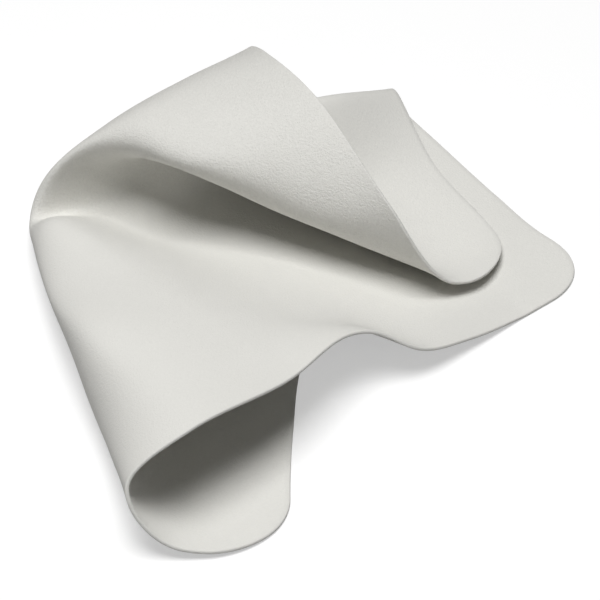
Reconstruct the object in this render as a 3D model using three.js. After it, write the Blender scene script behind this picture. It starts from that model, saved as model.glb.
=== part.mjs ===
// A lens cleaning cloth: one sheet of suede microfibre with rounded corners, cut
// without a hem, loosely folded in quarters and laid down. Millimetres, +Z up.
//
// The sheet is followed in its own two measures: f runs along its long side from
// the corner that lies at the right, s runs across its width from the front edge.
// The near right quarter lies flat. The left half turns under it in a soft roll,
// and the far half comes back over it, where it stands up as an open fold.
import * as THREE from "three";

// The flat sheet
const clothLength = 180;
const clothWidth = 150;
const clothThickness = 0.8;
const cornerRadius = 15;

// The fold
const foldHeight = 35;
const layerGap = 0.5;
const layTurn = THREE.MathUtils.degToRad(40);

// The small wave in the front edge: a dip towards the viewer and a crest beside it.
// Places and spread are shares of the sheet's length, the reach is one of its width.
const waveDipShare = 0.305;
const waveCrestShare = 0.425;
const waveSpreadShare = 0.048;
const waveReachShare = 0.12;
const waveDipOut = 2.0;
const waveDipDown = 0.9;
const waveCrestBack = 1.8;
const waveCrestUp = 0.3;

// The hollow at the pocket's left end, behind the ridge of the roll. Its place and
// spread along the sheet are shares of the length, and across it of the width.
const hollowAlongShare = 0.48;
const hollowAcrossShare = 0.575;
const hollowAlongSpreadShare = 0.11;
const hollowAcrossSpreadShare = 0.055;
const hollowDown = 9;
const hollowBack = 2;

// How finely the sheet is divided
const cells = 24;
const cornerCells = 3;

// Where the fold's guide points lie. Each table has one row for each guide line
// across the sheet, from the front edge (s = 0) to the rim of the open fold, and
// nine points in a row, from the right edge (f = 0) to the edge that is turned
// under. A value in between follows a smooth curve through its neighbours.

// How far a point lies along the sheet's laid direction, in shares of its length.
const alongShares = [
  [0.005, 0.13, 0.25, 0.35, 0.49, 0.62, 0.70, 0.68, 0.58],
  [0.015, 0.13, 0.25, 0.37, 0.49, 0.61, 0.66, 0.61, 0.52],
  [0.005, 0.125, 0.25, 0.37, 0.49, 0.60, 0.61, 0.54, 0.46],
  [-0.005, 0.12, 0.25, 0.37, 0.49, 0.57, 0.54, 0.46, 0.39],
  [-0.015, 0.11, 0.25, 0.38, 0.49, 0.52, 0.46, 0.38, 0.31],
  [0.005, 0.13, 0.25, 0.35, 0.455, 0.455, 0.38, 0.30, 0.24],
  [0.04, 0.15, 0.28, 0.365, 0.37, 0.34, 0.28, 0.22, 0.17],
  [0.06, 0.17, 0.28, 0.295, 0.26, 0.23, 0.19, 0.13, 0.09],
  [0.09, 0.19, 0.23, 0.215, 0.18, 0.12, 0.10, 0.05, 0.01],
];

// How far it lies across, towards the back, in shares of the sheet's width.
const acrossShares = [
  [0.00, 0.00, 0.00, 0.03, 0.00, -0.01, 0.00, -0.055, -0.14],
  [0.12, 0.12, 0.12, 0.12, 0.12, 0.12, 0.10, 0.03, -0.05],
  [0.23, 0.24, 0.24, 0.24, 0.24, 0.25, 0.21, 0.13, 0.03],
  [0.355, 0.36, 0.36, 0.36, 0.37, 0.375, 0.31, 0.21, 0.115],
  [0.475, 0.46, 0.47, 0.48, 0.50, 0.49, 0.40, 0.29, 0.18],
  [0.44, 0.43, 0.45, 0.535, 0.57, 0.585, 0.48, 0.36, 0.24],
  [0.31, 0.33, 0.36, 0.41, 0.52, 0.62, 0.55, 0.43, 0.31],
  [0.17, 0.175, 0.25, 0.35, 0.51, 0.62, 0.61, 0.49, 0.38],
  [0.07, 0.09, 0.16, 0.32, 0.48, 0.62, 0.67, 0.53, 0.44],
];

// How high the cloth's own bend lifts it there, in shares of the fold's height.
const riseShares = [
  [0.00, 0.00, 0.09, 0.36, 0.49, 0.58, 0.42, 0.08, 0.00],
  [0.00, 0.00, 0.05, 0.27, 0.47, 0.53, 0.23, 0.00, 0.00],
  [0.00, 0.00, 0.05, 0.19, 0.42, 0.46, 0.08, 0.00, 0.00],
  [0.00, 0.02, 0.04, 0.11, 0.37, 0.27, 0.00, 0.00, 0.00],
  [0.04, 0.13, 0.13, 0.07, 0.35, 0.14, 0.00, 0.00, 0.00],
  [0.21, 0.49, 0.57, 0.34, 0.39, 0.11, 0.00, 0.00, 0.00],
  [0.03, 0.10, 0.295, 0.61, 0.69, 0.24, 0.00, 0.00, 0.00],
  [0.00, 0.01, 0.39, 0.73, 0.73, 0.37, 0.03, 0.00, 0.00],
  [0.04, 0.11, 0.61, 0.90, 0.79, 0.43, 0.05, 0.00, 0.00],
];

// How many layers of cloth lie below it. Each one lifts it by a layer and a gap.
const layersBelow = [
  [0, 0, 1, 1, 1, 1, 0, 0, 0],
  [0, 0, 1, 1, 1, 1, 0, 0, 0],
  [0, 0, 1, 1, 1, 1, 0, 0, 0],
  [1, 1, 1, 1, 1, 1, 0, 0, 0],
  [1, 1, 1, 1, 1, 1, 0, 0, 0],
  [1.5, 1.5, 1.5, 1.5, 1.5, 1, 0, 0, 0],
  [2, 2, 2, 2, 2, 1, 0, 0, 0],
  [1.5, 2, 2, 2, 2, 1, 0, 0, 0],
  [1, 2, 2, 2, 2, 1, 0, 0, 0],
];

const guides = alongShares.length - 1;

// Guide point of row i and column j. Past the table's last point the line goes on
// straight, and the layers' lift is a height as well, so it adds to the bend's.
function guidePoint(i, j) {
  const along = alongShares[i][j] * clothLength;
  const across = acrossShares[i][j] * clothWidth;
  const rise = riseShares[i][j] * foldHeight;
  const lift = layersBelow[i][j] * (clothThickness + layerGap);
  return new THREE.Vector3(
    -along * Math.cos(layTurn) - across * Math.sin(layTurn),
    -along * Math.sin(layTurn) + across * Math.cos(layTurn),
    rise + lift,
  );
}

// The point at place x, counted in guide points, on the smooth curve (Catmull-Rom)
// through the given row of points.
function onCurve(points, x) {
  const last = points.length - 1;
  const k = Math.min(Math.floor(x), last - 1);
  const before = k > 0 ? points[k - 1] : mirror(points[0], points[1]);
  const after = k + 1 < last ? points[k + 2] : mirror(points[last], points[last - 1]);
  const here = points[k];
  const next = points[k + 1];
  const q = x - k;
  return here
    .clone()
    .addScaledVector(next.clone().sub(before), (q - 2 * q * q + q * q * q) / 2)
    .addScaledVector(after.clone().sub(here), (q * q * q - q * q) / 2)
    .addScaledVector(next.clone().sub(here), 3 * q * q - 2 * q * q * q);
}

// The point as far beyond a as b lies before it.
function mirror(a, b) {
  return a.clone().multiplyScalar(2).sub(b);
}

const guideRows = alongShares.map((row, i) => row.map((_, j) => guidePoint(i, j)));

// The middle of the cloth's thickness at f along the sheet and s across it. Where a
// curve would dip below the ground, the cloth lies flat on it.
function clothAt(f, s) {
  const column = guideRows[0].map((_, j) =>
    onCurve(guideRows.map((row) => row[j]), (s / clothWidth) * guides),
  );
  const point = onCurve(column, (f / clothLength) * guides);
  point.add(frontWave(f, s)).add(pocketHollow(f, s));
  point.z = Math.max(point.z, 0) + clothThickness / 2;
  return point;
}

// The way that the cloth's upper face looks at f and s, from the steps along and across
// the sheet between points a thickness to either side.
function facing(f, s) {
  const step = clothThickness;
  const within = (x, size) => THREE.MathUtils.clamp(x, 0, size);
  const alongF = clothAt(within(f + step, clothLength), s).sub(
    clothAt(within(f - step, clothLength), s),
  );
  const alongS = clothAt(f, within(s + step, clothWidth)).sub(
    clothAt(f, within(s - step, clothWidth)),
  );
  return alongS.cross(alongF).normalize();
}

// How far the small wave moves the cloth: a dip and a crest along the front edge, each
// a bell curve exp(-x^2) along the edge, and both fading inwards as another one.
function frontWave(f, s) {
  const bell = (x) => Math.exp(-x * x);
  const fade = bell(s / clothWidth / waveReachShare);
  const dip = fade * bell((f / clothLength - waveDipShare) / waveSpreadShare);
  const crest = fade * bell((f / clothLength - waveCrestShare) / waveSpreadShare);
  const back = crest * waveCrestBack - dip * waveDipOut;
  const up = crest * waveCrestUp - dip * waveDipDown;
  return new THREE.Vector3(0, back, up);
}

// How far the cloth sinks at the pocket's left end, behind the ridge of the roll: a bell
// curve exp(-x^2 - y^2) of the places along and across the sheet.
function pocketHollow(f, s) {
  const along = (f / clothLength - hollowAlongShare) / hollowAlongSpreadShare;
  const across = (s / clothWidth - hollowAcrossShare) / hollowAcrossSpreadShare;
  const bell = Math.exp(-along * along - across * across);
  return new THREE.Vector3(0, bell * hollowBack, -bell * hollowDown);
}

// The flat sheet's own places. The rows near the two long edges follow the rounded
// corners: there a row lies r(1 - cos a) from the edge and is drawn in by
// r(1 - sin a) at both ends, for an angle a that grows evenly to a quarter turn.
function flatPlace(row, column) {
  const fromEdge = Math.min(row, cells - row);
  const turn = Math.min(fromEdge / cornerCells, 1) * (Math.PI / 2);
  const straightStep = (clothWidth - 2 * cornerRadius) / (cells - 2 * cornerCells);
  const past = Math.max(fromEdge - cornerCells, 0) * straightStep;
  const inward = cornerRadius * (1 - Math.cos(turn)) + past;
  const drawnIn = cornerRadius * (1 - Math.sin(turn));
  const share = column / cells;
  return {
    f: drawnIn + share * (clothLength - 2 * drawnIn),
    s: 2 * row <= cells ? inward : clothWidth - inward,
  };
}

// The folded sheet as one closed body: a grid of points on each of its two faces,
// half a thickness to either side of the middle, and a wall all round its edge. It
// stands on z = 0, with the origin under the middle of its box.
function foldedSheet() {
  const side = cells + 1;
  const faces = { upper: [], lower: [] };
  for (let row = 0; row < side; row++) {
    for (let column = 0; column < side; column++) {
      const { f, s } = flatPlace(row, column);
      const middle = clothAt(f, s);
      const normal = facing(f, s);
      for (const [face, way] of [["upper", 1], ["lower", -1]]) {
        const point = middle.clone().addScaledVector(normal, (way * clothThickness) / 2);
        faces[face].push(point.x, point.y, Math.max(point.z, 0));
      }
    }
  }

  const index = [];
  const count = side * side;
  const quad = (a, b, c, d) => index.push(a, b, c, a, c, d);
  for (let row = 0; row < cells; row++) {
    for (let column = 0; column < cells; column++) {
      const a = row * side + column;
      quad(a, a + side, a + side + 1, a + 1);
      quad(count + a, count + a + 1, count + a + side + 1, count + a + side);
    }
  }
  const rim = [];
  for (let k = 0; k < cells; k++) rim.push(k);
  for (let k = 0; k < cells; k++) rim.push(k * side + cells);
  for (let k = cells; k > 0; k--) rim.push(cells * side + k);
  for (let k = cells; k > 0; k--) rim.push(k * side);
  rim.forEach((a, k) => {
    const b = rim[(k + 1) % rim.length];
    quad(a, b, count + b, count + a);
  });

  const geometry = new THREE.BufferGeometry();
  const places = [...faces.upper, ...faces.lower];
  geometry.setAttribute("position", new THREE.Float32BufferAttribute(places, 3));
  geometry.setIndex(index);
  geometry.computeBoundingBox();
  const centre = geometry.boundingBox.getCenter(new THREE.Vector3());
  geometry.translate(-centre.x, -centre.y, 0);
  geometry.computeVertexNormals();
  return geometry;
}

const suede = new THREE.MeshStandardMaterial({
  color: new THREE.Color().setRGB(0.87, 0.87, 0.85, THREE.SRGBColorSpace),
  roughness: 0.95,
  metalness: 0,
});

const cloth = new THREE.Mesh(foldedSheet(), suede);
cloth.name = "cloth";

const part = new THREE.Group();
part.add(cloth);

export default part;
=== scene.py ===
"""A lens cleaning cloth: one sheet of pale grey suede microfibre with rounded corners, cut
without a hem, loosely folded in quarters and laid on a pale floor. Metres, +Z up.

The sheet is followed in its own two measures: f runs along its long side from the corner that
lies at the right, s runs across its width from the front edge. The near right quarter lies flat,
the left half turns under it in a soft roll, and the far half comes back over it as an open fold.
"""
import math

import bpy
import numpy as np
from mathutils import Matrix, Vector


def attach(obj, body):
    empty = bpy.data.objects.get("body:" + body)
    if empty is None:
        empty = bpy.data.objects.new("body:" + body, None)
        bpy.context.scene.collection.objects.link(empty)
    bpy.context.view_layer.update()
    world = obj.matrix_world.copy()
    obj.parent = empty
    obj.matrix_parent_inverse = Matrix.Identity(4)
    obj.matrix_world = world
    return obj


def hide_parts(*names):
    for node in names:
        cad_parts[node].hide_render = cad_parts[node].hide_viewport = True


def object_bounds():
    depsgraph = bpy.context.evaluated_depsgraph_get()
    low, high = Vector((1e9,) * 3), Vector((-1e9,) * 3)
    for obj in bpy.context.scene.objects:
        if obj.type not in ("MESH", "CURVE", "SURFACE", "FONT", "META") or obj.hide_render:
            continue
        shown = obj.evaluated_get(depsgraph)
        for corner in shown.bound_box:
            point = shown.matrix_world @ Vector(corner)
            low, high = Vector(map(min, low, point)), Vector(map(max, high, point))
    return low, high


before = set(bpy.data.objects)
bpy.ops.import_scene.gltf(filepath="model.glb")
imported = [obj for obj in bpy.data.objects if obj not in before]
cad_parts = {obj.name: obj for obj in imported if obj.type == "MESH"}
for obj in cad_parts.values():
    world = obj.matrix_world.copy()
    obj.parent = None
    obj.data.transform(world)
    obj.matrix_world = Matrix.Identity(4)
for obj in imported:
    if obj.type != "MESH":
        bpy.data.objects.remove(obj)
cad_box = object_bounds()

MM = 0.001

# The flat sheet
CLOTH_LENGTH = 180 * MM
CLOTH_WIDTH = 150 * MM
CLOTH_THICKNESS = 0.8 * MM
CORNER_RADIUS = 15 * MM

# The fold
FOLD_HEIGHT = 35 * MM
LAYER_GAP = 0.5 * MM
LAY_TURN = math.radians(40)

# The small wave in the front edge: a dip towards the viewer and a crest beside it. Places
# and spread are shares of the sheet's length, the reach is one of its width.
WAVE_DIP_SHARE = 0.305
WAVE_CREST_SHARE = 0.425
WAVE_SPREAD_SHARE = 0.048
WAVE_REACH_SHARE = 0.12
WAVE_DIP_OUT = 2.0 * MM
WAVE_DIP_DOWN = 0.9 * MM
WAVE_CREST_BACK = 1.8 * MM
WAVE_CREST_UP = 0.3 * MM

# The hollow at the pocket's left end, behind the ridge of the roll. Its place and spread
# along the sheet are shares of the length, and across it of the width.
HOLLOW_ALONG_SHARE = 0.48
HOLLOW_ACROSS_SHARE = 0.575
HOLLOW_ALONG_SPREAD_SHARE = 0.11
HOLLOW_ACROSS_SPREAD_SHARE = 0.055
HOLLOW_DOWN = 9.0 * MM
HOLLOW_BACK = 2.0 * MM

# The camera, aimed at a point on the floor that is placed from the sheet's right corner
AIM_LEFT = 64.8 * MM
AIM_NEAR = 9.9 * MM
CAMERA_DISTANCE = 541.7 * MM
CAMERA_HEIGHT_ANGLE = math.radians(40)
SENSOR = 36.0
PICTURE_WIDTH_SHARE = 600 / 2600

# The fold's guide points, as in the CAD part: one row for each guide line across the sheet,
# from the front edge to the rim of the open fold, with nine points in a row, from the right
# edge to the edge that is turned under.
ALONG_SHARES = [
    [0.005, 0.13, 0.25, 0.35, 0.49, 0.62, 0.70, 0.68, 0.58],
    [0.015, 0.13, 0.25, 0.37, 0.49, 0.61, 0.66, 0.61, 0.52],
    [0.005, 0.125, 0.25, 0.37, 0.49, 0.60, 0.61, 0.54, 0.46],
    [-0.005, 0.12, 0.25, 0.37, 0.49, 0.57, 0.54, 0.46, 0.39],
    [-0.015, 0.11, 0.25, 0.38, 0.49, 0.52, 0.46, 0.38, 0.31],
    [0.005, 0.13, 0.25, 0.35, 0.455, 0.455, 0.38, 0.30, 0.24],
    [0.04, 0.15, 0.28, 0.365, 0.37, 0.34, 0.28, 0.22, 0.17],
    [0.06, 0.17, 0.28, 0.295, 0.26, 0.23, 0.19, 0.13, 0.09],
    [0.09, 0.19, 0.23, 0.215, 0.18, 0.12, 0.10, 0.05, 0.01],
]
ACROSS_SHARES = [
    [0.00, 0.00, 0.00, 0.03, 0.00, -0.01, 0.00, -0.055, -0.14],
    [0.12, 0.12, 0.12, 0.12, 0.12, 0.12, 0.10, 0.03, -0.05],
    [0.23, 0.24, 0.24, 0.24, 0.24, 0.25, 0.21, 0.13, 0.03],
    [0.355, 0.36, 0.36, 0.36, 0.37, 0.375, 0.31, 0.21, 0.115],
    [0.475, 0.46, 0.47, 0.48, 0.50, 0.49, 0.40, 0.29, 0.18],
    [0.44, 0.43, 0.45, 0.535, 0.57, 0.585, 0.48, 0.36, 0.24],
    [0.31, 0.33, 0.36, 0.41, 0.52, 0.62, 0.55, 0.43, 0.31],
    [0.17, 0.175, 0.25, 0.35, 0.51, 0.62, 0.61, 0.49, 0.38],
    [0.07, 0.09, 0.16, 0.32, 0.48, 0.62, 0.67, 0.53, 0.44],
]
RISE_SHARES = [
    [0.00, 0.00, 0.09, 0.36, 0.49, 0.58, 0.42, 0.08, 0.00],
    [0.00, 0.00, 0.05, 0.27, 0.47, 0.53, 0.23, 0.00, 0.00],
    [0.00, 0.00, 0.05, 0.19, 0.42, 0.46, 0.08, 0.00, 0.00],
    [0.00, 0.02, 0.04, 0.11, 0.37, 0.27, 0.00, 0.00, 0.00],
    [0.04, 0.13, 0.13, 0.07, 0.35, 0.14, 0.00, 0.00, 0.00],
    [0.21, 0.49, 0.57, 0.34, 0.39, 0.11, 0.00, 0.00, 0.00],
    [0.03, 0.10, 0.295, 0.61, 0.69, 0.24, 0.00, 0.00, 0.00],
    [0.00, 0.01, 0.39, 0.73, 0.73, 0.37, 0.03, 0.00, 0.00],
    [0.04, 0.11, 0.61, 0.90, 0.79, 0.43, 0.05, 0.00, 0.00],
]
LAYERS_BELOW = [
    [0, 0, 1, 1, 1, 1, 0, 0, 0],
    [0, 0, 1, 1, 1, 1, 0, 0, 0],
    [0, 0, 1, 1, 1, 1, 0, 0, 0],
    [1, 1, 1, 1, 1, 1, 0, 0, 0],
    [1, 1, 1, 1, 1, 1, 0, 0, 0],
    [1.5, 1.5, 1.5, 1.5, 1.5, 1, 0, 0, 0],
    [2, 2, 2, 2, 2, 1, 0, 0, 0],
    [1.5, 2, 2, 2, 2, 1, 0, 0, 0],
    [1, 2, 2, 2, 2, 1, 0, 0, 0],
]

# How finely the sheet is divided, and how much of each side its corner rows take
ROWS = 160
COLUMNS = 160
CORNER_ROWS_SHARE = 1 / 8

# The cut edge: how far it bulges, as a share of the thickness, and its steps
EDGE_BULGE_SHARE = 0.3
EDGE_STEPS = 4

# The nap: noise cycles for each metre, how much of the coarse noise it takes, its height, and
# how strong it is where the face is smooth
PEBBLE_SCALE = 2000.0
FIBRE_SCALE = 4200.0
CLOUD_SCALE = 60.0
PEBBLE_SHARE = 0.6
NAP_HEIGHT = 0.3 * MM
SMOOTH_NAP_SHARE = 0.45

# The photographer's table: the floor, one square lamp overhead and a faint even light
FLOOR_SIDE = 6.0
FLOOR_PALENESS = 0.6
FLOOR_GLOW = 0.45
LAMP_SIDE = 0.5
LAMP_POWER = 8.2
LAMP_PLACE = (-0.06, -0.13, 0.89)
SKY_STRENGTH = 0.05


def guide_net():
    """The guide points, [9, 9, 3]: each lies its shares along and across the two directions in
    which the sheet is laid, at its own rise plus a thickness and a gap for each layer below."""
    along = np.array(ALONG_SHARES) * CLOTH_LENGTH
    across = np.array(ACROSS_SHARES) * CLOTH_WIDTH
    lift = np.array(LAYERS_BELOW) * (CLOTH_THICKNESS + LAYER_GAP)
    x = -along * math.cos(LAY_TURN) - across * math.sin(LAY_TURN)
    y = -along * math.sin(LAY_TURN) + across * math.cos(LAY_TURN)
    return np.stack([x, y, np.array(RISE_SHARES) * FOLD_HEIGHT + lift], axis=-1)


def curve_weights(place, spans):
    """Catmull-Rom weights: for places counted in guide points, the first of the four guide
    points that each one follows, and their four weights."""
    first = np.minimum(np.floor(place), spans - 1).astype(int)
    q = place - first
    weights = [
        (-q + 2 * q**2 - q**3) / 2,
        (2 - 5 * q**2 + 3 * q**3) / 2,
        (q + 4 * q**2 - 3 * q**3) / 2,
        (-(q**2) + q**3) / 2,
    ]
    return first, weights


def cloth_middle(f, s):
    """The middle of the cloth's thickness at f along the sheet and s across it: the smooth
    surface through the guide points, no lower than where the cloth lies flat on the floor."""
    net = guide_net()
    rows, columns = net.shape[0] - 1, net.shape[1] - 1
    net = np.concatenate([2 * net[:1] - net[1:2], net, 2 * net[-1:] - net[-2:-1]], axis=0)
    first, last = 2 * net[:, :1] - net[:, 1:2], 2 * net[:, -1:] - net[:, -2:-1]
    net = np.concatenate([first, net, last], axis=1)
    row, row_weights = curve_weights(s / CLOTH_WIDTH * rows, rows)
    col, col_weights = curve_weights(f / CLOTH_LENGTH * columns, columns)
    place = np.zeros(f.shape + (3,))
    for i, row_weight in enumerate(row_weights):
        for j, col_weight in enumerate(col_weights):
            place += (row_weight * col_weight)[..., None] * net[row + i, col + j]
    place += front_wave(f, s) + pocket_hollow(f, s)
    place[..., 2] = np.maximum(place[..., 2], 0) + CLOTH_THICKNESS / 2
    return place


def bell(x):
    """The bell curve exp(-x^2)."""
    return np.exp(-(x**2))


def front_wave(f, s):
    """How far the small wave moves the cloth: a dip and a crest along the front edge, each a bell
    curve exp(-x^2) along the edge, and both fading inwards as another one."""
    fade = bell(s / CLOTH_WIDTH / WAVE_REACH_SHARE)
    dip = bell((f / CLOTH_LENGTH - WAVE_DIP_SHARE) / WAVE_SPREAD_SHARE) * fade
    crest = bell((f / CLOTH_LENGTH - WAVE_CREST_SHARE) / WAVE_SPREAD_SHARE) * fade
    back = crest * WAVE_CREST_BACK - dip * WAVE_DIP_OUT
    up = crest * WAVE_CREST_UP - dip * WAVE_DIP_DOWN
    return np.stack([0 * f, back, up], axis=-1)


def pocket_hollow(f, s):
    """How far the cloth sinks at the pocket's left end, behind the ridge of the roll: the product
    exp(-x^2 - y^2) of a bell curve along the sheet and one across it."""
    along = (f / CLOTH_LENGTH - HOLLOW_ALONG_SHARE) / HOLLOW_ALONG_SPREAD_SHARE
    across = (s / CLOTH_WIDTH - HOLLOW_ACROSS_SHARE) / HOLLOW_ACROSS_SPREAD_SHARE
    sunk = bell(along) * bell(across)
    return np.stack([0 * f, sunk * HOLLOW_BACK, -sunk * HOLLOW_DOWN], axis=-1)


def flat_grid(rows, columns):
    """f and s on a grid that fills the flat sheet. Near the two long edges a row lies
    r(1 - cos a) from the edge and is drawn in by r(1 - sin a) at both ends, for an angle a
    that grows evenly to a quarter turn, so that its ends follow the rounded corners."""
    t = np.linspace(0, 1, rows + 1)[:, None]
    from_edge = np.minimum(t, 1 - t)
    turn = np.minimum(from_edge / CORNER_ROWS_SHARE, 1) * math.pi / 2
    straight = (from_edge - CORNER_ROWS_SHARE) / (0.5 - CORNER_ROWS_SHARE)
    past_corner = np.maximum(straight, 0) * (CLOTH_WIDTH / 2 - CORNER_RADIUS)
    inward = CORNER_RADIUS * (1 - np.cos(turn)) + past_corner
    drawn_in = CORNER_RADIUS * (1 - np.sin(turn))
    f = drawn_in + np.linspace(0, 1, columns + 1)[None, :] * (CLOTH_LENGTH - 2 * drawn_in)
    s = np.where(t <= 0.5, inward, CLOTH_WIDTH - inward) + 0 * f
    return f, s


def unit(v):
    """Vectors of the same direction and length 1."""
    return v / np.maximum(np.linalg.norm(v, axis=-1, keepdims=True), 1e-12)


def facing(f, s):
    """The way that the cloth's upper face looks: the cross product of the steps across and along
    the sheet between points half a thickness to either side."""
    step = CLOTH_THICKNESS / 2
    along = (cloth_middle(np.minimum(f + step, CLOTH_LENGTH), s)
             - cloth_middle(np.maximum(f - step, 0), s))
    across = (cloth_middle(f, np.minimum(s + step, CLOTH_WIDTH))
              - cloth_middle(f, np.maximum(s - step, 0)))
    return unit(np.cross(across, along))


def folded_cloth():
    """Points, faces, flat places (f, s) and an edge mark for each point of the whole cloth:
    the middle moved half a thickness to either side along its normal, and between the two, all
    round, a half-round wall. That wall's point at angle a lies cos(a) of half a thickness along
    the normal and sin(a) of the bulge outwards."""
    f, s = flat_grid(ROWS, COLUMNS)
    middle = cloth_middle(f, s)
    normal = facing(f, s)
    side = COLUMNS + 1
    grid = np.arange((ROWS + 1) * side).reshape(ROWS + 1, side)
    rim = np.concatenate([grid[0, :-1], grid[:-1, -1], grid[-1, :0:-1], grid[:0:-1, 0]])
    middle, normal = middle.reshape(-1, 3), normal.reshape(-1, 3)
    flat = np.stack([f.ravel(), s.ravel()], axis=-1)

    half = CLOTH_THICKNESS / 2
    rim_run = unit(np.roll(middle[rim], -1, axis=0) - np.roll(middle[rim], 1, axis=0))
    outward = np.cross(rim_run, normal[rim])
    inside = middle.reshape(ROWS + 1, side, 3)[ROWS // 2, side // 2]
    if np.einsum("ij,ij->i", outward[:4], middle[rim[:4]] - inside).mean() < 0:
        outward = -outward
    angles = np.linspace(0, math.pi, EDGE_STEPS + 1)[1:-1]
    wall = [middle[rim] + normal[rim] * half * math.cos(a)
            + outward * CLOTH_THICKNESS * EDGE_BULGE_SHARE * math.sin(a) for a in angles]
    points = np.concatenate([middle + normal * half, middle - normal * half] + wall)
    points[:, 2] = np.maximum(points[:, 2], 0)

    a, b, c, d = grid[:-1, :-1], grid[1:, :-1], grid[1:, 1:], grid[:-1, 1:]
    upper = np.stack([a, b, c, d], axis=-1).reshape(-1, 4)
    lower = upper[:, ::-1] + grid.size
    loops = [rim] + [2 * grid.size + k * len(rim) + np.arange(len(rim)) for k in range(len(angles))]
    loops.append(rim + grid.size)
    walls = [np.stack([p, np.roll(p, -1), np.roll(q, -1), q], axis=-1) for p, q in zip(loops, loops[1:])]
    faces = np.concatenate([upper, lower] + walls)

    flat = np.concatenate([flat, flat] + [flat[rim]] * len(angles))
    edge = np.zeros(len(points))
    edge[2 * grid.size:] = 1
    under = np.zeros(len(points))
    under[grid.size:2 * grid.size] = 1
    return points, faces, flat, edge, under


def cloth_piece(name):
    """The cloth as one mesh, with its flat places in metres as its UV map, standing on the
    floor under the middle of the CAD part's box."""
    points, faces, flat, edge, under = folded_cloth()
    low, high = np.array(cad_box[0]), np.array(cad_box[1])
    shift = (low + high) / 2 - (points.min(axis=0) + points.max(axis=0)) / 2
    shift[2] = 0
    points = points + shift
    mesh = bpy.data.meshes.new(name)
    mesh.from_pydata(points.tolist(), [], faces.tolist())
    mesh.update()
    uv = mesh.uv_layers.new(name="flat sheet")
    corners = np.zeros(len(mesh.loops), dtype=np.int32)
    mesh.loops.foreach_get("vertex_index", corners)
    uv.data.foreach_set("uv", flat[corners].astype(np.float32).ravel())
    for title, values in (("cut edge", edge), ("under face", under)):
        layer = mesh.attributes.new(title, "FLOAT", "POINT")
        layer.data.foreach_set("value", values.astype(np.float32))
    mesh.polygons.foreach_set("use_smooth", np.ones(len(mesh.polygons), dtype=bool))
    piece = bpy.data.objects.new(name, mesh)
    bpy.context.scene.collection.objects.link(piece)
    return piece, shift


class Value:
    """A socket in a node tree, with the operators of a number."""

    def __init__(self, tree, socket):
        self.tree, self.socket = tree, socket

    def _math(self, operation, *inputs):
        return node(self.tree, "ShaderNodeMath", {"operation": operation}, *inputs)

    def __add__(self, other):
        return self._math("ADD", self, other)

    def __radd__(self, other):
        return self._math("ADD", other, self)

    def __sub__(self, other):
        return self._math("SUBTRACT", self, other)

    def __rsub__(self, other):
        return self._math("SUBTRACT", other, self)

    def __mul__(self, other):
        return self._math("MULTIPLY", self, other)

    def __rmul__(self, other):
        return self._math("MULTIPLY", other, self)

    def between(self, low, high):
        """0 below low, 1 above high and smooth in between."""
        settings = {"interpolation_type": "SMOOTHSTEP"}
        return node(self.tree, "ShaderNodeMapRange", settings, self, low, high, 0.0, 1.0)


def node(tree, kind, settings=None, *inputs, out=0, **named):
    """A node with its settings, then the values or links of its sockets, in order or by name."""
    made = tree.nodes.new(kind)
    for key, value in (settings or {}).items():
        setattr(made, key, value)
    pairs = [(made.inputs[k], value) for k, value in enumerate(inputs)]
    pairs += [(made.inputs[key.replace("_", " ")], value) for key, value in named.items()]
    for socket, value in pairs:
        if isinstance(value, Value):
            tree.links.new(value.socket, socket)
        elif value is not None:
            socket.default_value = value
    return Value(tree, made.outputs[out]) if made.outputs else None


def mixed(tree, share, first, second):
    """The colour between two colours."""
    made = tree.nodes.new("ShaderNodeMix")
    made.data_type = "RGBA"
    for name, value in (("Factor_Float", share), ("A_Color", first), ("B_Color", second)):
        socket = next(x for x in made.inputs if x.identifier == name)
        if isinstance(value, Value):
            tree.links.new(value.socket, socket)
        else:
            socket.default_value = value
    result = next(x for x in made.outputs if x.identifier == "Result_Color")
    return Value(tree, result)


def srgb(red, green, blue):
    """A colour of the photograph, 0 to 255, as a linear colour."""
    def line(v):
        v = v / 255
        return v / 12.92 if v <= 0.04045 else ((v + 0.055) / 1.055) ** 2.4
    return (line(red), line(green), line(blue), 1.0)


def new_tree(name):
    """A material with an empty node tree."""
    material = bpy.data.materials.new(name)
    material.use_nodes = True
    tree = material.node_tree
    tree.nodes.clear()
    return material, tree


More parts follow.
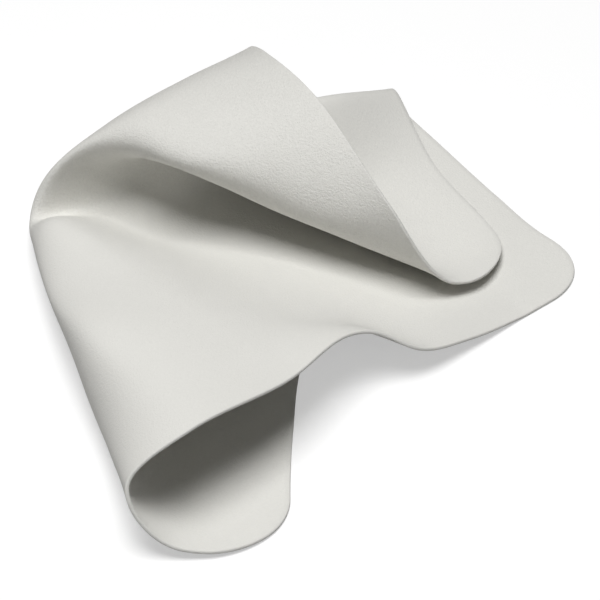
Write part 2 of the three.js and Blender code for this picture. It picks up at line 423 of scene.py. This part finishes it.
def suede_microfibre():
    """Pale grey suede microfibre: a fine pebbled nap with a matt sheen, stronger on the upper
    face where the cloth is bent back over itself, and a cut edge mostly in the nap's middle tone."""
    material, tree = new_tree("suede microfibre")
    flat = node(tree, "ShaderNodeUVMap", {"uv_map": "flat sheet"})
    place = node(tree, "ShaderNodeTexCoord", out=3)
    edge = node(tree, "ShaderNodeAttribute", {"attribute_name": "cut edge"}, out=2)
    across = node(tree, "ShaderNodeSeparateXYZ", None, flat, out=1)
    under = node(tree, "ShaderNodeAttribute", {"attribute_name": "under face"}, out=2)
    brushed = across.between(0.45 * CLOTH_WIDTH, 0.6 * CLOTH_WIDTH) * (1 - under)

    pebble = node(tree, "ShaderNodeTexNoise", {"noise_dimensions": "3D"}, place,
                  Scale=PEBBLE_SCALE, Detail=2.0, Roughness=0.6)
    fibre = node(tree, "ShaderNodeTexNoise", {"noise_dimensions": "3D"}, place,
                 Scale=FIBRE_SCALE, Detail=1.0, Roughness=0.6)
    cloud = node(tree, "ShaderNodeTexNoise", {"noise_dimensions": "3D"}, place,
                 Scale=CLOUD_SCALE, Detail=2.0, Roughness=0.5)
    nap = pebble * PEBBLE_SHARE + fibre * (1 - PEBBLE_SHARE)
    strength = SMOOTH_NAP_SHARE + brushed * (1 - SMOOTH_NAP_SHARE)

    tone = (nap - 0.5) * 1.2 * strength + (cloud - 0.5) * 0.25 + 0.5
    colour = mixed(tree, tone, srgb(214, 213, 208), srgb(234, 233, 228))
    colour = mixed(tree, edge * 0.8, colour, srgb(224, 223, 218))

    bump = node(tree, "ShaderNodeBump", None, Strength=1.0, Distance=NAP_HEIGHT,
                Height=nap * strength)
    surface = node(tree, "ShaderNodeBsdfPrincipled", None,
                   Base_Color=colour, Roughness=0.95, Normal=bump,
                   Sheen_Weight=0.04, Sheen_Roughness=0.5, Specular_IOR_Level=0.1)
    node(tree, "ShaderNodeOutputMaterial", None, surface)
    return material


def floor_white():
    """A pale matt floor that a camera sees a little lighter, so that it ends in white."""
    material, tree = new_tree("pale floor")
    seen = node(tree, "ShaderNodeLightPath", None, out=0)
    pale = (FLOOR_PALENESS, FLOOR_PALENESS, FLOOR_PALENESS, 1.0)
    paper = node(tree, "ShaderNodeBsdfDiffuse", None, pale)
    glow = node(tree, "ShaderNodeEmission", None, (1.0, 1.0, 1.0, 1.0), seen * FLOOR_GLOW)
    both = node(tree, "ShaderNodeAddShader", None, paper, glow)
    node(tree, "ShaderNodeOutputMaterial", None, both)
    return material


def soft_lamp(name, size, power, place, aim):
    """A square area lamp at a place, turned to shine at a point."""
    lamp = bpy.data.lights.new(name, "AREA")
    lamp.size, lamp.energy = size, power
    lamp_object = bpy.data.objects.new(name, lamp)
    lamp_object.location = place
    lamp_object.rotation_euler = (Vector(aim) - Vector(place)).to_track_quat("-Z", "Y").to_euler()
    bpy.context.scene.collection.objects.link(lamp_object)
    return lamp_object


# The cloth, its material and the node that it stands for, with the CAD part hidden
cloth, shift = cloth_piece("folded_cloth")
cloth.data.materials.append(suede_microfibre())
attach(cloth, "root")
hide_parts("cloth")

# The floor and its lamp
bpy.ops.mesh.primitive_plane_add(size=FLOOR_SIDE, location=(0, 0, 0))
floor = bpy.context.object
floor.name = "floor"
floor.data.materials.append(floor_white())
soft_lamp("overhead softbox", LAMP_SIDE, LAMP_POWER, LAMP_PLACE, (0, 0, 0))

# The even light
world = bpy.data.worlds.new("studio")
bpy.context.scene.world = world
world.use_nodes = True
world.node_tree.nodes.clear()
sky = node(world.node_tree, "ShaderNodeBackground", None, (1.0, 1.0, 1.0, 1.0), SKY_STRENGTH)
node(world.node_tree, "ShaderNodeOutputWorld", None, sky)

# The camera, at the photo's angle
aim = (shift[0] - AIM_LEFT, shift[1] - AIM_NEAR, 0.0)
camera_data = bpy.data.cameras.new("camera")
camera_data.sensor_fit = "HORIZONTAL"
camera_data.sensor_width = SENSOR
camera_data.lens = SENSOR / PICTURE_WIDTH_SHARE
camera = bpy.data.objects.new("camera", camera_data)
camera.location = (
    aim[0],
    aim[1] - CAMERA_DISTANCE * math.cos(CAMERA_HEIGHT_ANGLE),
    aim[2] + CAMERA_DISTANCE * math.sin(CAMERA_HEIGHT_ANGLE),
)
camera.rotation_euler = (math.pi / 2 - CAMERA_HEIGHT_ANGLE, 0, 0)
bpy.context.scene.collection.objects.link(camera)
bpy.context.scene.camera = camera
bpy.context.scene.view_settings.view_transform = "Standard"
